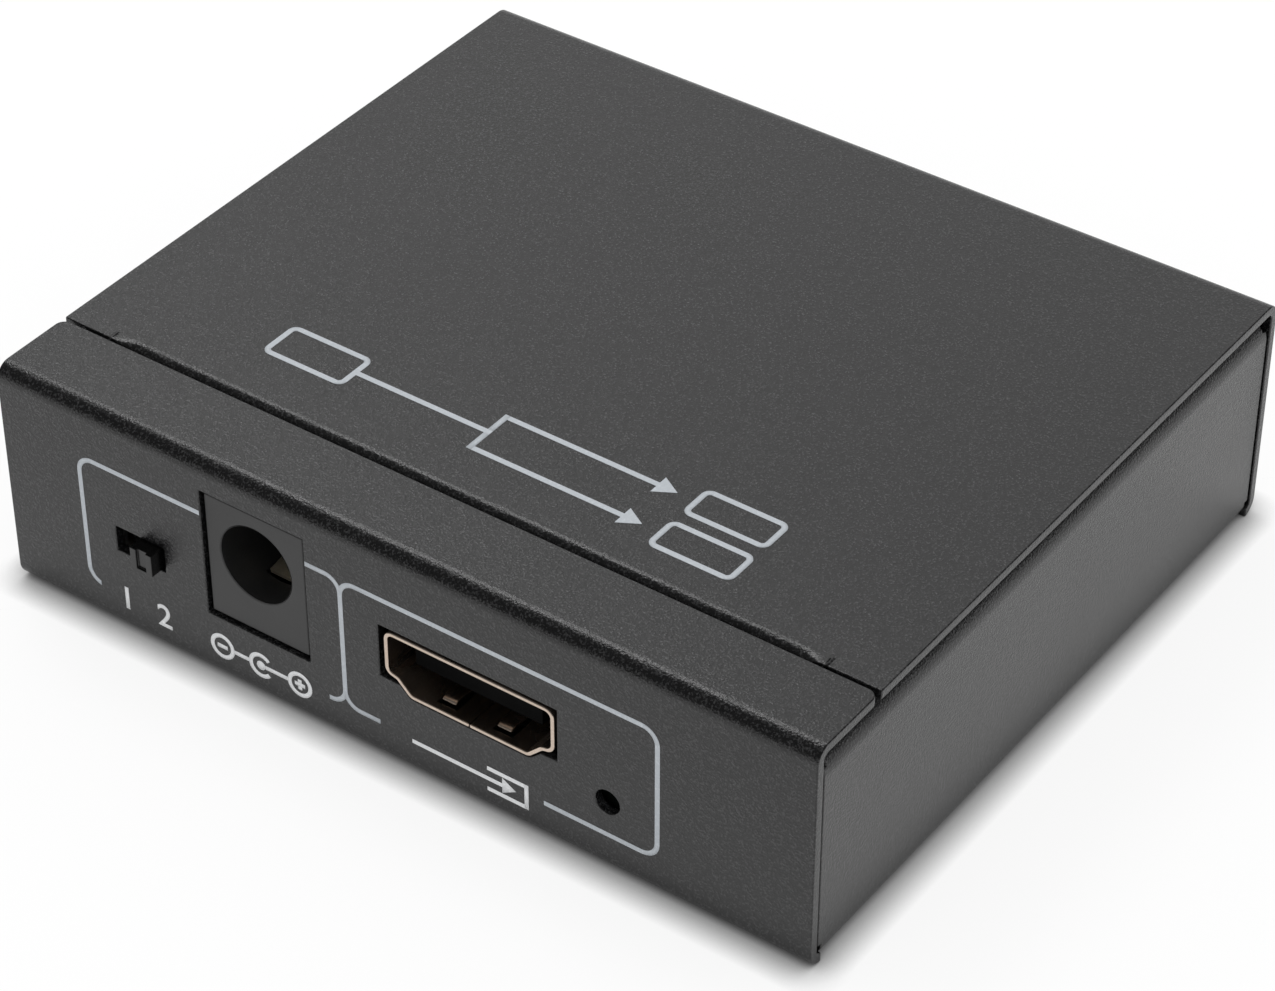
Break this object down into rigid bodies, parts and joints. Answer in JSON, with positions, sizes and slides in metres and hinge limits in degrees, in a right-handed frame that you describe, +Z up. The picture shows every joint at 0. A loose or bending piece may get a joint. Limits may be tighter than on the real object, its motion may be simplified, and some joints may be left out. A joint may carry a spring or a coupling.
{
  "type": "video splitter",
  "caption": "Small black folded-steel video splitter: input port, power jack and slide switch on the front, output ports on the back, and a circuit board inside.",
  "frame": {"origin": "middle of the case's underside, on the surface that it stands on", "axes": "+X to the right as the front panel is looked at, +Y from the front panel to the back panel, +Z up"},
  "size_m": [0.071, 0.0622, 0.0196],
  "materials": {
    "case_coat": "fine-textured black powder coat on steel sheet",
    "black_screw": "black oxide",
    "brass": "machined",
    "bright_steel": "nickel plated",
    "board": "black solder mask on glass-fibre laminate",
    "port_plating": "warm nickel plating",
    "port_plastic": "moulded, black",
    "gold_contact": "gold plated",
    "jack_plastic": "moulded, black",
    "pin_plating": "nickel plated",
    "switch_phenolic": "phenolic laminate",
    "knob_plastic": "moulded, dark grey",
    "lamp_lens": "clear moulded",
    "chip_plastic": "moulded epoxy",
    "tinned_lead": "tin plated",
    "ferrite": "pressed ferrite",
    "can_aluminium": "drawn",
    "seat_plastic": "moulded, black",
    "ceramic": "fired ceramic",
    "resistor_glaze": "glazed"
  },
  "bodies": {
    "case": {"base_tray": "case_coat", "top_cover": "case_coat", "cover_screws": "black_screw", "board_standoffs": "brass", "board_screws": "bright_steel", "main_board": "board", "input_port_shell": "port_plating", "input_port_core": "port_plastic", "input_port_contacts": "gold_contact", "output_port_1_shell": "port_plating", "output_port_1_core": "port_plastic", "output_port_1_contacts": "gold_contact", "output_port_2_shell": "port_plating", "output_port_2_core": "port_plastic", "output_port_2_contacts": "gold_contact", "power_jack_body": "jack_plastic", "power_jack_pin": "pin_plating", "power_jack_sleeve_spring": "bright_steel", "power_jack_terminals": "bright_steel", "switch_can": "bright_steel", "switch_base": "switch_phenolic", "switch_terminals": "bright_steel", "input_lamp": "lamp_lens", "output_lamps": "lamp_lens", "splitter_chip": "chip_plastic", "splitter_chip_leads": "tinned_lead", "control_chip": "chip_plastic", "control_chip_leads": "tinned_lead", "voltage_regulator": "chip_plastic", "regulator_leads": "tinned_lead", "power_inductor": "ferrite", "inductor_tabs": "tinned_lead", "input_diode": "chip_plastic", "diode_tabs": "tinned_lead", "capacitor_cans": "can_aluminium", "capacitor_seats": "seat_plastic", "crystal_can": "bright_steel", "surge_protectors": "chip_plastic", "ceramic_capacitors": "ceramic", "chip_resistors": "resistor_glaze", "end_caps": "tinned_lead"},
    "switch_slider": {"switch_knob": "knob_plastic", "switch_wiper": "gold_contact"}
  },
  "joints": [
    {"name": "switch_slide", "type": "slide", "parent": "case", "child": "switch_slider", "axis": [1, 0, 0], "range_m": [-0.002, 0]}
  ]
}
